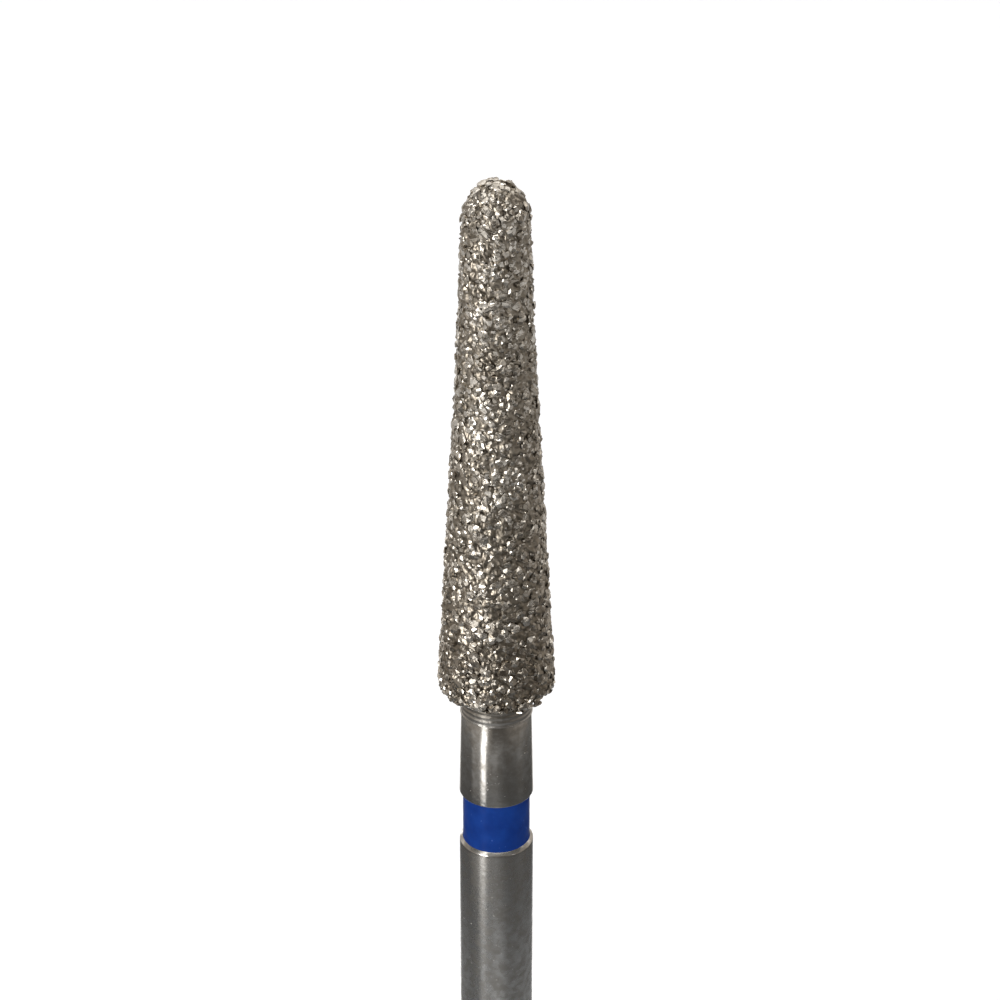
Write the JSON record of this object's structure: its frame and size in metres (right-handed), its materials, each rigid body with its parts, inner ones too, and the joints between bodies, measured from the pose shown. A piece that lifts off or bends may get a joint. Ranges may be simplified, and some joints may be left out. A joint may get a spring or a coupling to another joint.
{
  "type": "dental bur",
  "caption": "Straight-shank dental bur with a long round-end tapered head coated in diamond grit, a smooth steel neck and a recessed blue colour ring.",
  "frame": {"origin": "centre of the flat end of the shank", "axes": "+Z along the bur's axis, from the shank's end to the tip; X and Y are any two directions across it, because the bur is round"},
  "size_m": [0.0036, 0.0036, 0.0445],
  "materials": {
    "steel": "turned and polished, with fine marks",
    "grit": "rough nickel plating full of diamond grains, with small bright glints",
    "lacquer": "glossy"
  },
  "bodies": {
    "root": {"steel_blank": "steel", "diamond_coat": "grit", "colour_ring": "lacquer"}
  },
  "joints": []
}
